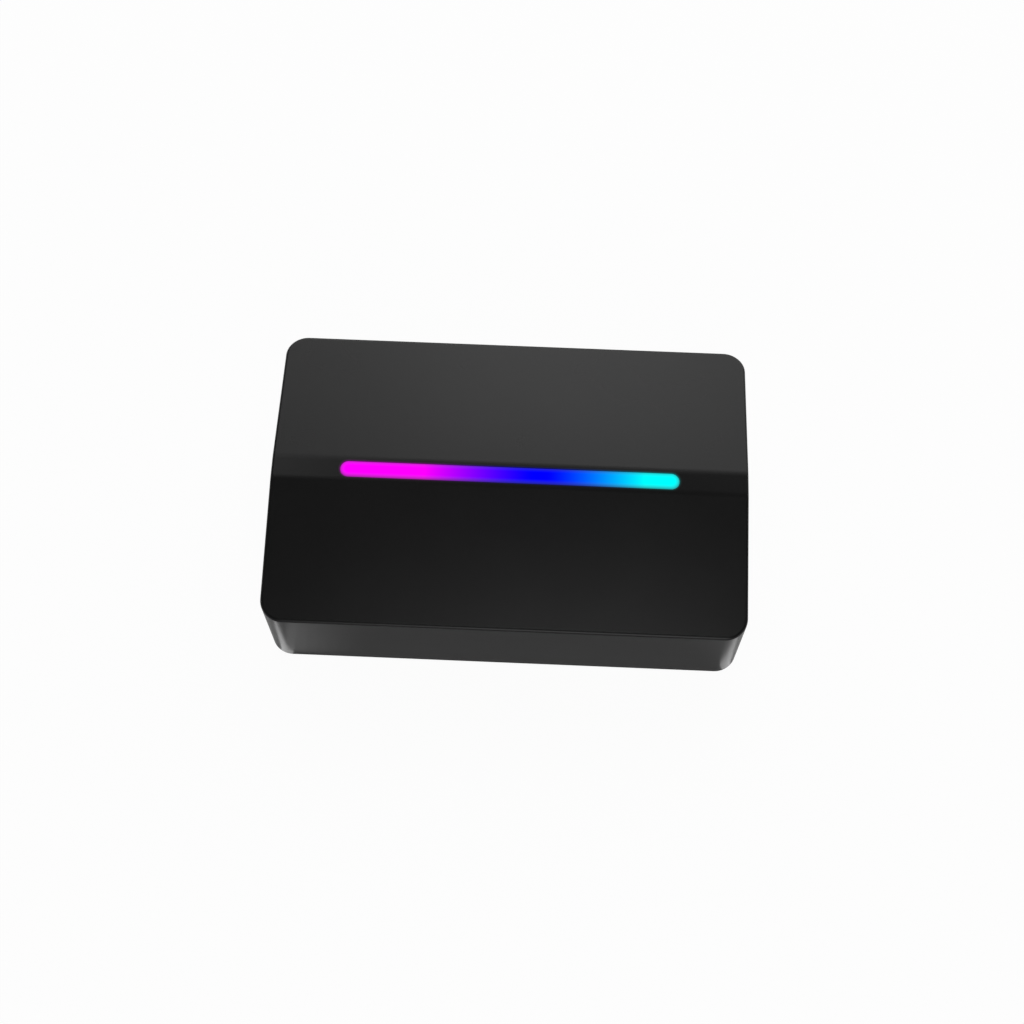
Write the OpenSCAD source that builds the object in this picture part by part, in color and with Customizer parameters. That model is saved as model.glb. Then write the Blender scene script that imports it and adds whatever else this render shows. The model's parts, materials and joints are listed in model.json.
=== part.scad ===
// Video capture box with a light bar along its ridge, as an assembly of separate pieces.
// Origin on the table under the middle of the case, +X right, +Y towards the sockets, +Z up.
// All sizes are millimetres.

/* [Case] */
// Width of the case, left to right
case_w = 100; // [98:1:120]
// Depth of the case, front to rear
case_d = 66; // [64:1:80]
// Height of the walls at the front and rear edges, from the lower rim
wall_h = 21.5; // [19.4:0.1:26]
// Rise of the ridge above those edges
ridge_rise = 4; // [2:0.1:6]
// Width of the flat band along the ridge
ridge_band = 5; // [4.6:0.1:8]
// Radius that blends the band into each slope
ridge_blend_r = 10; // [4:0.5:14]
// Radius of the upright corners
corner_r = 4.7; // [4:0.1:7]
// Radius of the edges round the roof
edge_r = 0.6; // [0.2:0.1:1]
// Bevel round the lower rim
rim_bevel = 0.3; // [0.1:0.1:0.4]
// Thickness of the walls
wall_t = 2; // [1.6:0.1:2.4]
// Thickness of the roof
roof_t = 2; // [1.6:0.1:2.4]
// Radius of a screw boss
boss_r = 3; // [2.6:0.1:3.4]
// Gap between a screw boss and the side wall
boss_wall_gap = 1; // [0.6:0.1:1.4]
// Gap between a rear screw boss and the socket panel
boss_panel_gap = 1.2; // [0.6:0.1:2]
// Thickness of the ribs inside the case
rib_t = 1.2; // [0.8:0.1:1.6]
// Depth of the ribs under the roof
roof_rib_h = 2; // [1:0.1:3]

/* [Light bar] */
// Length of the light bar
bar_l = 71; // [60:0.1:74]
// Width of the light bar
bar_w = 3.5; // [3:0.1:4.4]
// How far the light bar stands above the ridge
bar_proud = 0.1; // [0:0.05:0.3]
// Radius of the light bar's upper edge
bar_edge_r = 0.3; // [0.1:0.05:0.6]
// Gap between the light bar and its slot
bar_gap = 0.1; // [0.05:0.05:0.2]
// How far the flange of the light bar reaches past the bar
bar_flange = 1.6; // [1:0.1:2.4]
// Thickness of that flange
bar_flange_t = 1; // [0.8:0.1:1.4]
// Thickness that the light channel adds under the roof
channel_seat_t = 0.4; // [0.2:0.1:0.8]
// Depth of the light channel below the flange's seat
channel_depth = 8; // [6:0.1:9]
// Thickness of the light channel's walls
channel_t = 1.4; // [1:0.1:2]
// Length of the solid block at each end of the light channel
channel_end = 5; // [4.4:0.1:6]

/* [Base] */
// Height of the lower rim above the table
foot_h = 1; // [0.6:0.1:2]
// Diameter of a rubber foot
foot_d = 9; // [7:0.1:11]
// Depth of the recess that holds a foot
foot_recess = 0.6; // [0.4:0.1:0.9]
// Gap around a foot in its recess
foot_gap = 0.1; // [0.05:0.05:0.2]
// Distance from the side wall to the middle of a foot
foot_in_x = 14; // [13:0.5:18]
// Distance from the front or rear wall to the middle of a foot
foot_in_y = 10; // [9:0.5:14]
// Thickness of the bottom cover
cover_t = 2; // [1.6:0.1:2.6]
// How far the bottom cover lies above the rim
cover_recess = 0.5; // [0.2:0.1:0.9]
// Wall left beside the rebate that takes the bottom cover
rebate_t = 1; // [0.8:0.1:1.2]
// Gap around the bottom cover
cover_gap = 0.15; // [0.1:0.05:0.3]
// Height of the locating rib on the bottom cover
locate_h = 1.8; // [1:0.1:2.2]
// Gap between the locating rib and the walls
locate_gap = 0.3; // [0.1:0.1:0.5]
// Bevel round the lower edge of a foot
foot_bevel = 0.4; // [0.1:0.1:0.6]
// Number of vent slots in the bottom cover
vent_count = 11; // [5:2:13]
// Length of a vent slot
vent_l = 16; // [8:1:24]
// Width of a vent slot
vent_w = 1.6; // [1:0.1:2.4]
// Distance between vent slots
vent_pitch = 3.6; // [3:0.1:4.2]

/* [Fasteners] */
// Diameter of a case screw
case_screw_d = 2.5; // [2:0.1:2.6]
// Length of a case screw below its head
case_screw_l = 9; // [7:0.5:12]
// Diameter of a case screw's head
case_head_d = 4.6; // [4:0.1:5]
// Height of a case screw's head
case_head_h = 1.6; // [1.2:0.1:1.8]
// How far the heads lie above the bottom cover's lower face
case_head_sink = 0.5; // [0.2:0.1:0.8]
// Thickness of the bottom cover's pad above a screw head
pad_t = 1.4; // [1:0.1:1.8]
// How far that pad reaches past the boss it meets
pad_lap = 0.6; // [0.2:0.1:0.8]
// Room left past the tip of a screw
tip_gap = 0.4; // [0.2:0.1:0.8]
// Diameter of a board screw
board_screw_d = 2; // [1.6:0.1:2.2]
// Length of a board screw below its head
board_screw_l = 4; // [3.2:0.1:4.4]
// Diameter of a board screw's head
board_head_d = 3.8; // [3.4:0.1:4.4]
// Height of a board screw's head
board_head_h = 1.3; // [1:0.1:1.6]
// Diameter of a lamp board screw
led_screw_d = 1.6; // [1.4:0.1:1.8]
// Length of a lamp board screw below its head
led_screw_l = 5.5; // [4:0.1:6.5]
// Diameter of a lamp board screw's head
led_head_d = 3.2; // [2.8:0.1:3.6]
// Height of a lamp board screw's head
led_head_h = 1.1; // [0.8:0.1:1.4]
// Gap around a screw in the plastic it is driven into
thread_gap = 0.05; // [0.02:0.01:0.1]
// Gap around a screw in the hole it passes through
pass_gap = 0.2; // [0.1:0.05:0.4]

/* [Boards] */
// Thickness of the main board
board_t = 1.6; // [1.2:0.1:2]
// Height of the standoffs that carry it
standoff_h = 2.5; // [2.2:0.1:4]
// Radius of a standoff
standoff_r = 2.6; // [2.2:0.1:3]
// Gap between the main board and the side walls
board_side_gap = 2.5; // [2:0.1:3.5]
// Gap between the main board and the front wall
board_front_gap = 2.5; // [2:0.1:3.5]
// Gap between the main board and the socket panel
board_rear_gap = 0.3; // [0.2:0.1:0.8]
// Gap between the main board and the screw bosses
board_boss_gap = 0.6; // [0.4:0.1:1]
// Distance from the side of the main board to its screws
board_screw_in = 4; // [3.6:0.1:5]
// Distance from the rear edge of the main board to its rear screws
board_screw_rear = 17.4; // [16:0.1:20]
// Distance from the front edge of the main board to its front screws
board_screw_front = 14.5; // [12:0.1:18]
// Thickness of the lamp board
led_board_t = 1.2; // [0.8:0.1:1.6]
// Distance between lamps
led_pitch = 6; // [4.2:0.1:8]
// Side of a lamp
led_side = 3.5; // [2.8:0.1:4]
// Height of a lamp
led_h = 1.5; // [1:0.1:2]
// Length of a cable socket
cable_socket_l = 8; // [7:0.1:10]
// Depth of a cable socket
cable_socket_d = 4; // [3:0.1:4.4]
// Height of a cable socket
cable_socket_h = 1.9; // [1.5:0.1:2.2]
// Width of the flat cable
cable_w = 5; // [4:0.1:5.6]
// Thickness of the flat cable
cable_t = 0.3; // [0.2:0.05:0.4]
// How far the cable goes into each socket
cable_in = 2.5; // [1.5:0.1:2.6]
// Straight run of the cable outside each socket
cable_run = 1.5; // [1:0.1:3]
// Gap around the cable in its sockets
cable_gap = 0.05; // [0.05:0.05:0.1]
// How far the cable sockets' mouths lie inside the lamp board's front edge
cable_mouth_in = 0.6; // [0.2:0.1:1]
// Gap between the cable sockets and the head of the lamp board screw beside them
cable_screw_gap = 1.3; // [0.5:0.1:3]

/* [Sockets] */
// How far the socket panel's outer face lies inside the rear wall's
panel_recess = 0.6; // [0.3:0.1:0.8]
// Gap around the socket panel in its opening
panel_gap = 0.1; // [0.05:0.05:0.2]
// Thickness of the socket panel's flange
panel_flange_t = 1.2; // [1:0.1:1.6]
// How far the flange reaches behind the wall
panel_lap = 1.5; // [1:0.1:2]
// Radius of the upper corners of the panel's opening
notch_r = 1.2; // [0.6:0.1:2]
// Plain margin of the socket panel beside and above the sockets
panel_margin = 2.3; // [1.6:0.1:3]
// How far the sockets' mouths lie inside the panel's outer face
mouth_recess = 0.3; // [0:0.1:0.5]
// Gap around a socket in the panel
socket_gap = 0.25; // [0.15:0.05:0.4]
// Width of a video socket
video_w = 14.9; // [14.5:0.1:15.5]
// Height of a video socket
video_h = 5.5; // [5.4:0.1:6]
// Depth of a video socket
video_d = 11.5; // [10:0.1:13]
// Sheet thickness of a video socket's shell
video_sheet = 0.45; // [0.3:0.05:0.5]
// Width of the slanted lower corners of a video socket
video_slant_w = 2.05; // [1.5:0.05:2.4]
// Height of those slanted corners
video_slant_h = 1.7; // [1.4:0.05:2]
// Width of a video socket's tongue
tongue_w = 11.4; // [11:0.1:12]
// Thickness of a video socket's tongue
tongue_t = 1.3; // [1:0.1:1.5]
// How far a video socket's tongue lies inside its mouth
tongue_recess = 1.9; // [1:0.1:2.2]
// Height of that tongue's middle above the inner floor of the shell
tongue_h = 2.7; // [2.4:0.1:2.9]
// Depth of the insulating block at the rear of a video socket
insulator_d = 3; // [2:0.1:4]
// Gap between an insulating block and its shell
insulator_gap = 0.05; // [0.02:0.01:0.1]
// Thickness of a contact strip
strip_t = 0.1; // [0.05:0.05:0.15]
// Width of a video socket's contact strip
video_strip_w = 0.45; // [0.3:0.05:0.6]
// Distance from the end of a tongue to its contact strips
strip_end = 0.5; // [0.3:0.1:0.8]
// Distance between the contacts of a video socket
video_contact_pitch = 1; // [0.9:0.05:1.1]
// Width of the computer socket
usb_w = 8.94; // [8.9:0.02:9.1]
// Height of the computer socket
usb_h = 3.26; // [3.2:0.02:3.4]
// Depth of the computer socket
usb_d = 7.5; // [7:0.1:9]
// Sheet thickness of the computer socket's shell
usb_sheet = 0.3; // [0.25:0.05:0.35]
// Thickness of the computer socket's tongue
usb_tongue_t = 0.7; // [0.6:0.05:0.8]
// Width of the computer socket's tongue
usb_tongue_w = 6.7; // [6.4:0.1:7]
// How far that tongue lies inside the mouth
usb_tongue_recess = 0.6; // [0.4:0.1:1]
// Depth of the insulating block at the rear of the computer socket
usb_back_d = 2.4; // [2:0.1:3]
// Distance between the computer socket's contacts
usb_contact_pitch = 0.5; // [0.4:0.05:0.5]
// Width of the computer socket's contact strips
usb_strip_w = 0.25; // [0.15:0.05:0.3]
// Width of an audio jack's body and diameter of its nose
jack_w = 6; // [5.6:0.1:6.4]
// Depth of an audio jack's body
jack_d = 12; // [11.5:0.1:14]
// Bore of an audio jack
jack_bore = 3.6; // [3.5:0.05:3.7]
// Depth of that bore
jack_bore_l = 13.5; // [12.5:0.1:13.8]
// Width of a jack's solder tag
tag_w = 1.6; // [1:0.1:2]
// Thickness of a jack's solder tag
tag_t = 0.3; // [0.2:0.05:0.4]
// Height of a jack's solder tag
tag_h = 2.2; // [1.5:0.1:3]
// Distance from the front of a jack to its first pair of tags
tag_first = 3; // [2:0.1:4]
// Distance between the pairs of tags
tag_pitch = 5.4; // [4:0.1:7]
// Width of the bevel round a jack's mouth
jack_lead_in = 0.35; // [0.2:0.05:0.5]
// Gap between each end of the row of sockets and the screw boss beside it
row_boss_gap = 1.4; // [1:0.1:2]

/* [Mode button] */
// Diameter of the button
button_d = 4; // [3:0.1:4.4]
// Gap around the button in the panel
button_gap = 0.2; // [0.15:0.05:0.3]
// How far the button's face lies inside the rear wall's
button_inset = 0.1; // [0:0.05:0.3]
// Width of the button's collar behind the panel
button_collar = 0.8; // [0.6:0.1:1]
// Thickness of that collar
button_collar_t = 0.7; // [0.6:0.1:1]
// Gap between the collar and the panel at rest
button_rest_gap = 0.15; // [0.1:0.05:0.3]
// Gap between the collar and the main board
button_board_gap = 0.2; // [0.15:0.05:0.4]
// Bevel round the button's face
button_bevel = 0.3; // [0.1:0.1:0.5]
// Travel of the button
button_travel = 0.4; // [0.2:0.05:0.5]
// Gap left between collar and switch when the button is pressed
button_stop_gap = 0.3; // [0.2:0.05:0.5]
// Width of the switch
switch_w = 4.4; // [4:0.1:4.6]
// Depth of the switch
switch_d = 3.2; // [3:0.1:4]
// Height of the switch
switch_h = 4.8; // [4.4:0.1:5.4]
// Diameter of the switch's plunger
plunger_d = 2; // [1.6:0.1:2.2]
// Gap around the plunger
plunger_gap = 0.12; // [0.1:0.02:0.2]
// Length of the plunger inside the switch at rest
plunger_in = 0.8; // [0.6:0.1:1]
// Room behind the plunger when the button is pressed
plunger_room = 0.2; // [0.1:0.05:0.4]

/* [Parts on the main board] */
// Side of the video processor
processor_side = 17; // [15:0.1:18]
// Height of the video processor
processor_h = 1.4; // [1:0.1:1.8]
// Distance of the video processor to the right of the middle
processor_x = 8; // [6:0.5:10]
// Gap between the heat sink and the front edge of the board
sink_front_gap = 1; // [0.5:0.1:2]
// Thickness of the thermal pad
pad_sheet = 0.5; // [0.3:0.1:0.8]
// Side of the heat sink
sink_side = 21; // [19:0.5:22]
// Thickness of the heat sink's base
sink_base = 1.5; // [1:0.1:2]
// Height of the heat sink's fins
sink_fin_h = 4; // [3:0.1:5]
// Thickness of a fin
sink_fin_t = 0.9; // [0.6:0.1:1.1]
// Number of fins
sink_fins = 8; // [5:1:9]
// Height of the flat chips
chip_h = 1.2; // [0.9:0.1:1.6]
// Side of the video receiver chip
receiver_side = 10; // [8:0.1:11]
// Side of the video transmitter chip
transmitter_side = 9; // [7:0.1:10]
// Side of the computer bridge chip
bridge_side = 8; // [6:0.1:9]
// Side of the sound chip
codec_side = 5; // [4:0.1:6]
// Width of a memory chip
memory_w = 13; // [11:0.1:13]
// Depth of a memory chip
memory_d = 9; // [7:0.1:10]
// Gap between neighbouring parts of the front rows
part_gap = 1.8; // [1.2:0.1:2.4]
// Gap between the sockets and the row of chips in front of them
chip_row_gap = 3; // [2:0.1:4]
// Width of the flash chip and of the voltage regulators
flash_w = 5; // [4:0.1:6]
// Depth of the flash chip and of the voltage regulators
flash_d = 4; // [3:0.1:5]
// Length of a lead
lead_l = 0.9; // [0.6:0.1:1.2]
// Thickness of a lead
lead_t = 0.2; // [0.15:0.05:0.25]
// Width of a lead
lead_w = 0.35; // [0.2:0.05:0.45]
// Distance between leads
lead_step = 0.8; // [0.6:0.05:1]
// Width of a crystal
crystal_w = 3.2; // [2.5:0.1:3.6]
// Depth of a crystal
crystal_d = 2.5; // [2:0.1:3]
// Height of a crystal
crystal_h = 0.8; // [0.6:0.1:1]
// Width, depth and height of a small capacitor
small_cap = [0.9, 1.6, 0.8]; // [0.4:0.1:2]
// Width, depth and height of a small resistor
small_res = [0.6, 1.1, 0.4]; // [0.3:0.1:2]
// Gap between small parts in a row
small_gap = 0.9; // [0.6:0.1:1.2]
// Diameter of a can capacitor
can_d = 5; // [4:0.1:5.4]
// Height of a can capacitor
can_h = 5.4; // [5:0.1:6]
// Side of a power inductor
coil_side = 5; // [4:0.1:5.6]
// Height of a power inductor
coil_h = 3; // [2:0.1:3.4]
// Height of a can capacitor's plastic base
can_base = 0.6; // [0.4:0.1:1]
// Depth of the marks and dishes pressed into parts
mark_depth = 0.15; // [0.05:0.05:0.2]

/* [Hidden] */
$fn = 48;
// Overshoot of cutting shapes
cut = 1;

// Half sizes and heights of the case
half_w = case_w / 2;
half_d = case_d / 2;
rim_z = foot_h;
edge_z = rim_z + wall_h;
ridge_z = edge_z + ridge_rise;
roof_angle = atan2(ridge_rise, half_d - ridge_band / 2);
// The blend arc runs from blend_start to blend_end, measured from the ridge
blend_start = ridge_band / 2 - ridge_blend_r * tan(roof_angle / 2);
blend_end = blend_start + ridge_blend_r * sin(roof_angle);
corner_steps = 12;
edge_steps = 5;
blend_steps = 4;

// Heights of the stack inside
cover_z = rim_z + cover_recess;
cover_top = cover_z + cover_t;
board_z = cover_top + standoff_h;
board_top = board_z + board_t;
seat_z = ridge_z - roof_t - channel_seat_t;
flange_z = seat_z - bar_flange_t;
led_top = seat_z - channel_depth;
led_z = led_top - led_board_t;

// Case screws: the head lies in the cover, the pad above it meets the boss
head_z = cover_z + case_head_sink;
head_top = head_z + case_head_h;
pad_top = head_top + pad_t;
pad_r = boss_r + pad_lap;
case_hole_r = case_screw_d / 2 + thread_gap;
case_hole_l = head_top + case_screw_l + tip_gap - pad_top;

// Socket panel
wall_in_y = half_d - wall_t;
panel_face = half_d - panel_recess;
panel_back = wall_in_y - panel_gap - panel_flange_t;
mouth_y = panel_face - mouth_recess;
boss_x = half_w - wall_t - boss_wall_gap - boss_r;
boss_y = panel_back - boss_panel_gap - boss_r;

// Row of sockets, evenly spread between the rear bosses: video in, video out, computer,
// microphone, headphones, and the button's switch at the left end
row_half = boss_x - boss_r - row_boss_gap;
row_widths = [video_w, video_w, usb_w, jack_w, jack_w, switch_w];
row_gap = (2 * row_half - sum_to(row_widths, len(row_widths))) / (len(row_widths) - 1);
function sum_to(list, n) = n == 0 ? 0 : list[n - 1] + sum_to(list, n - 1);
function row_x(k) = row_half - sum_to(row_widths, k) - k * row_gap - row_widths[k] / 2;
video_in_x = row_x(0);
video_out_x = row_x(1);
usb_x = row_x(2);
mic_x = row_x(3);
phone_x = row_x(4);
button_x = row_x(5);
jack_z = board_top + jack_w / 2;
button_z = board_top + button_d / 2 + button_collar + button_board_gap;
panel_half = max(video_in_x + video_w / 2, button_d / 2 - button_x) + panel_margin;
panel_top = board_top + max(video_h, jack_w) + panel_margin;
notch_half = panel_half + panel_gap;
notch_top = panel_top + panel_gap;
panel_r = notch_r - panel_gap;
plate_back = wall_in_y - panel_gap;

// Main board
board_half = half_w - wall_t - board_side_gap;
board_rear = panel_back - board_rear_gap;
board_front = wall_t + board_front_gap - half_d;
board_screw_x = board_half - board_screw_in;
board_screw_ys = [board_front + board_screw_front, board_rear - board_screw_rear];

// Light bar, its channel and the lamp board
flange_l = bar_l + 2 * bar_flange;
flange_w = bar_w + 2 * bar_flange;
pocket_l = flange_l + 2 * bar_gap;
pocket_w = flange_w + 2 * bar_gap;
channel_l = pocket_l + 2 * channel_end;
channel_w = pocket_w + 2 * channel_t;
led_screw_x = pocket_l / 2 + channel_end / 2;
led_count = floor((bar_l - led_side) / led_pitch) + 1;
led_hole_l = led_screw_l - led_board_t + tip_gap;
cable_mouth_y = cable_mouth_in - channel_w / 2;
cable_x = led_screw_x - led_head_d / 2 - cable_screw_gap - cable_socket_l / 2;

// Mode button, from its collar inwards to the switch
collar_front = panel_back - button_rest_gap;
collar_back = collar_front - button_collar_t;
switch_front = collar_back - button_travel - button_stop_gap;
switch_back = switch_front - switch_d;
button_front = half_d - button_inset;

// Chips, each as x, y, width, depth: a front row beside the heat sink, a rear row behind the sockets
front_row_y = board_front + sink_front_gap + sink_side / 2;
rear_row_y = mouth_y - video_d - chip_row_gap - lead_l;
processor = [processor_x, front_row_y, processor_side, processor_side];
memory_x = processor_x - (processor_side + memory_w) / 2 - part_gap;
memories = [for (side = [-1, 1])
    [memory_x, front_row_y + side * (memory_d + part_gap) / 2, memory_w, memory_d]];
flash_x = memory_x - (memory_w + flash_w) / 2 - part_gap;
small_chips = [for (k = [-1:1]) [flash_x, front_row_y + k * (flash_d + part_gap), flash_w, flash_d]];
coil_x = processor_x + (sink_side + coil_side) / 2 + part_gap;
can_x = coil_x + (coil_side + can_d) / 2 + part_gap;
function rear_chip(x, side) = [x, rear_row_y - side / 2, side, side];
receiver = rear_chip(video_in_x - part_gap, receiver_side);
transmitter = rear_chip(video_out_x, transmitter_side);
bridge = rear_chip(usb_x, bridge_side);
codec = rear_chip(phone_x, codec_side);

// Sockets on the board
usb_z = board_top + usb_h / 2;
tongue_z = board_top + video_sheet + tongue_h;

// Roof height above the table at a distance y from the ridge line
function roof_z(y) =
    let (d = abs(y))
    d <= blend_start ? ridge_z
    : d >= blend_end ? ridge_z - (d - ridge_band / 2) * tan(roof_angle)
    : ridge_z - ridge_blend_r + sqrt(pow(ridge_blend_r, 2) - pow(d - blend_start, 2));

// Case outline drawn in by inset: the right half from front to rear, then the left half back again
function corner_arc(cy, r, from) =
    [for (k = [0:corner_steps])
        let (a = from + 90 * k / corner_steps)
        [half_w - corner_r + r * cos(a), cy + r * sin(a)]];
function blend_ys(side) =
    [for (k = [0:blend_steps])
        let (a = roof_angle * (side < 0 ? blend_steps - k : k) / blend_steps)
        side * (blend_start + ridge_blend_r * sin(a))];
function right_half(inset) = concat(
    corner_arc(corner_r - half_d, corner_r - inset, -90),
    [for (side = [-1, 1]) for (y = blend_ys(side)) [half_w - inset, y]],
    corner_arc(half_d - corner_r, corner_r - inset, 0));
function outline(inset) =
    let (right = right_half(inset))
    concat(right, [for (k = [len(right) - 1:-1:0]) [-right[k].x, right[k].y]]);
function level_ring(inset, z) = [for (p = outline(inset)) [p.x, p.y, z]];
function roof_ring(inset, drop) = [for (p = outline(inset)) [p.x, p.y, roof_z(p.y) - drop]];

// Solid through a stack of rings, with its two ends closed by strips from side to side
module loft(rings) {
    n = len(rings[0]);
    last = (len(rings) - 1) * n;
    points = [for (ring = rings) for (p = ring) p];
    sides = [for (j = [0:len(rings) - 2]) for (k = [0:n - 1])
        let (a = j * n + k, b = j * n + (k + 1) % n)
        each [[a, a + n, b], [b, a + n, b + n]]];
    ends = [for (k = [0:n / 2 - 2])
        let (a = k, b = k + 1, c = n - 2 - k, d = n - 1 - k)
        each [[a, b, c], [a, c, d],
            [last + a, last + c, last + b], [last + a, last + d, last + c]]];
    polyhedron(points, concat(sides, ends), convexity = 6);
}

// Outer form of the case: bevelled rim, upright walls, rounded edge, two-slope roof
module case_form() {
    edge = [for (k = [0:edge_steps])
        let (a = 90 * k / edge_steps)
        roof_ring(edge_r * (1 - cos(a)), edge_r * (1 - sin(a)))];
    rim = [level_ring(rim_bevel, rim_z), level_ring(0, rim_z + rim_bevel)];
    loft(concat(rim, edge));
}

// Space inside the walls and roof, drawn in by inset and drop and open below
module inner_form(inset, drop) {
    loft([level_ring(inset, rim_z - cut), roof_ring(inset, drop)]);
}

module rounded_plate(w, d, r, h) {
    linear_extrude(h) {
        square([w - 2 * r, d], center = true);
        square([w, d - 2 * r], center = true);
        for (sx = [-1, 1], sy = [-1, 1])
            translate([sx * (w / 2 - r), sy * (d / 2 - r)]) circle(r);
    }
}

module block(w, d, h) {
    translate([-w / 2, -d / 2, 0]) cube([w, d, h]);
}

module slot(l, w, h) {
    linear_extrude(h) {
        square([l - w, w], center = true);
        for (side = [-1, 1]) translate([side * (l - w) / 2, 0]) circle(w / 2);
    }
}

// Extrudes a profile drawn in X and Z along Y, from y0 to y1
module along_y(y0, y1) {
    translate([0, y1, 0]) rotate([90, 0, 0]) linear_extrude(y1 - y0) children();
}

module rod_y(r, y0, y1) {
    translate([0, y0, 0]) rotate([-90, 0, 0]) cylinder(r = r, h = y1 - y0);
}

// Places at the four bosses, mirrored so that +X points to the nearest side wall
module at_bosses() {
    for (mx = [0, 1], my = [0, 1])
        mirror([mx, 0, 0]) mirror([0, my, 0]) translate([boss_x, boss_y, 0]) children();
}

module at_feet() {
    for (sx = [-1, 1], sy = [-1, 1])
        translate([sx * (half_w - foot_in_x), sy * (half_d - foot_in_y), 0]) children();
}

module at_board_screws() {
    for (sx = [-1, 1], y = board_screw_ys) translate([sx * board_screw_x, y, 0]) children();
}

// Pan-head screw with a cross recess, its head's seat at z = 0 and its shank above
module screw(d, l, head_d, head_h) {
    recess_w = head_d * 0.16;
    recess_l = head_d * 0.62;
    recess_h = head_h * 0.55;
    point_l = d / 2;
    cylinder(d = d, h = l - point_l);
    translate([0, 0, l - point_l]) cylinder(d1 = d, d2 = d * 0.4, h = point_l);
    difference() {
        translate([0, 0, -head_h]) rotate_extrude() {
            crown = head_h * 0.45;
            square([head_d / 2 - crown, head_h]);
            translate([0, crown]) square([head_d / 2, head_h - crown]);
            translate([head_d / 2 - crown, crown]) circle(crown);
        }
        for (turn = [0, 90]) rotate(turn)
            translate([0, 0, -head_h - cut]) block(recess_l, recess_w, recess_h + cut);
    }
}

module bar_slot(grow, z0, z1) {
    translate([0, 0, z0]) slot(bar_l + 2 * grow, bar_w + 2 * grow, z1 - z0);
}

module panel_profile(half, top, r) {
    translate([-half, rim_z]) square([2 * half, top - rim_z - r]);
    translate([r - half, rim_z]) square([2 * (half - r), top - rim_z]);
    for (side = [-1, 1]) translate([side * (half - r), top - r]) circle(r);
}

// Ribs under each slope of the roof, between the light channel and the wall
module roof_ribs() {
    for (x = [-0.5, 0, 0.5] * boss_x)
        intersection() {
            translate([x, 0, led_top]) block(rib_t, case_d - wall_t, ridge_z - led_top);
            difference() {
                inner_form(wall_t / 2, roof_t / 2);
                inner_form(wall_t / 4, roof_t + roof_rib_h);
            }
        }
}

// Screw bosses that hang from the roof, each braced to its side wall
module bosses() {
    intersection() {
        inner_form(wall_t / 2, roof_t / 2);
        at_bosses() union() {
            translate([0, 0, pad_top]) cylinder(r = boss_r, h = ridge_z);
            translate([0, -rib_t / 2, board_top])
                cube([boss_r + boss_wall_gap + wall_t / 2, rib_t, ridge_z]);
        }
    }
}

module top_shell() {
    color([0.05, 0.05, 0.055]) difference() {
        union() {
            difference() {
                case_form();
                inner_form(wall_t, roof_t);
            }
            bosses();
            roof_ribs();
            intersection() {
                translate([0, 0, led_top]) block(channel_l, channel_w, ridge_z);
                inner_form(wall_t / 2, roof_t / 2);
            }
        }
        translate([0, 0, led_top - cut]) block(pocket_l, pocket_w, channel_depth + cut);
        bar_slot(bar_gap, seat_z - cut, ridge_z + cut);
        for (side = [-1, 1])
            translate([side * led_screw_x, 0, led_top - cut])
                cylinder(d = led_screw_d + 2 * thread_gap, h = led_hole_l + cut);
        translate([0, 0, rim_z - cut])
            rounded_plate(case_w - 2 * rebate_t, case_d - 2 * rebate_t, corner_r - rebate_t,
                cover_top - rim_z + cut);
        translate([0, 0, -cut]) along_y(wall_in_y - cut, half_d + cut)
            panel_profile(notch_half, notch_top + cut, notch_r);
        at_bosses() translate([0, 0, pad_top - cut])
            cylinder(r = case_hole_r, h = case_hole_l + cut);
    }
}

// Light bar: a rounded upper part in the slot and a flange that seats under the roof
module light_bar() {
    bar_top = ridge_z + bar_proud;
    color([0.55, 0.2, 1]) union() {
        bar_slot(0, seat_z, bar_top - bar_edge_r);
        for (turn = [0, 180]) rotate(turn)
            translate([(bar_l - bar_w) / 2, 0, bar_top - bar_edge_r])
                rotate(-90) rotate_extrude(angle = 180) bar_edge();
        translate([-(bar_l - bar_w) / 2, 0, bar_top - bar_edge_r])
            rotate([90, 0, 90]) linear_extrude(bar_l - bar_w) {
                bar_edge();
                mirror([1, 0]) bar_edge();
            }
        translate([0, 0, flange_z]) block(flange_l, flange_w, bar_flange_t);
    }
}

module bar_edge() {
    square([bar_w / 2 - bar_edge_r, bar_edge_r]);
    intersection() {
        translate([bar_w / 2 - bar_edge_r, 0]) circle(bar_edge_r);
        square([bar_w / 2, bar_edge_r]);
    }
}

module bottom_cover() {
    margin = rebate_t + cover_gap;
    color([0.06, 0.06, 0.065]) difference() {
        union() {
            translate([0, 0, cover_z])
                rounded_plate(case_w - 2 * margin, case_d - 2 * margin, corner_r - margin, cover_t);
            locating_rib(wall_t + locate_gap);
            panel_stops();
            at_bosses() translate([0, 0, cover_z]) cylinder(r = pad_r, h = pad_top - cover_z);
            at_board_screws() translate([0, 0, cover_z])
                cylinder(r = standoff_r, h = board_z - cover_z);
        }
        at_bosses() {
            translate([0, 0, cover_z - cut])
                cylinder(d = case_head_d + 2 * pass_gap, h = head_top - cover_z + cut);
            translate([0, 0, cover_z]) cylinder(d = case_screw_d + 2 * pass_gap, h = pad_top);
        }
        at_board_screws() translate([0, 0, board_top - board_screw_l - tip_gap])
            cylinder(d = board_screw_d + 2 * thread_gap, h = board_screw_l);
        at_feet() translate([0, 0, cover_z - cut])
            cylinder(d = foot_d + 2 * foot_gap, h = foot_recess + cut);
        for (k = [0:vent_count - 1])
            translate([(k - (vent_count - 1) / 2) * vent_pitch, 0, cover_z - cut])
                rotate(90) slot(vent_l, vent_w, cover_t + 2 * cut);
        translate([-panel_half - cover_gap, plate_back - cover_gap, cover_z - cut])
            cube([2 * (panel_half + cover_gap), wall_t, cover_t + locate_h + 2 * cut]);
    }
}

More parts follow.
